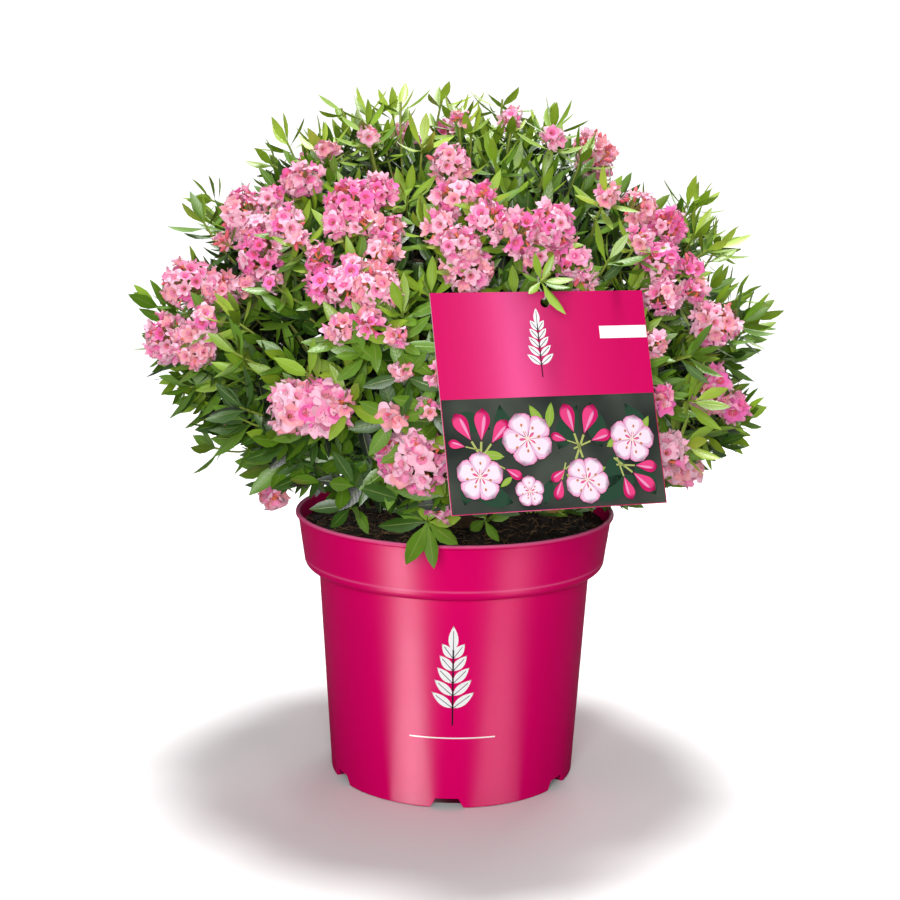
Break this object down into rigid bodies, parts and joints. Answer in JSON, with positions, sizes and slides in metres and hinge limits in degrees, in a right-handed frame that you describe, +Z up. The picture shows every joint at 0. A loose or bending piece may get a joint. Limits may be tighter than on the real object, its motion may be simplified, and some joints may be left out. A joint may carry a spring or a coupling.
{
  "type": "potted rhododendron",
  "caption": "Compact evergreen shrub with pink blossom clusters, in a tapered round nursery pot with a deep collar, filled with potting soil, with a hang label on a thread.",
  "frame": {"origin": "centre of the pot's flat underside", "axes": "+Z up, -Y towards the front, where the hang label is, +X to the right seen from the front"},
  "size_m": [0.4452, 0.4574, 0.488],
  "materials": {
    "pot": "satin moulded magenta plastic",
    "soil": "moist dark peat with fibres",
    "bark": "thin rough brown bark",
    "foliage": "leathery green leaves",
    "label": "printed satin plastic card",
    "thread": "thin pale thread"
  },
  "bodies": {
    "root": {"pot": "pot", "soil": "soil", "trunk": "bark", "bough_low_1": "bark", "bough_low_2": "bark", "bough_low_3": "bark", "bough_low_4": "bark", "bough_low_5": "bark", "bough_low_6": "bark", "bough_mid_1": "bark", "bough_mid_2": "bark", "bough_mid_3": "bark", "bough_mid_4": "bark", "bough_mid_5": "bark", "bough_mid_6": "bark", "bough_high_1": "bark", "bough_high_2": "bark", "bough_high_3": "bark", "bough_high_4": "bark", "foliage_low_1": "foliage", "foliage_low_2": "foliage", "foliage_low_3": "foliage", "foliage_low_4": "foliage", "foliage_low_5": "foliage", "foliage_low_6": "foliage", "foliage_mid_1": "foliage", "foliage_mid_2": "foliage", "foliage_mid_3": "foliage", "foliage_mid_4": "foliage", "foliage_mid_5": "foliage", "foliage_mid_6": "foliage", "foliage_high_1": "foliage", "foliage_high_2": "foliage", "foliage_high_3": "foliage", "foliage_high_4": "foliage", "label": "label", "label_thread": "thread"}
  },
  "joints": []
}
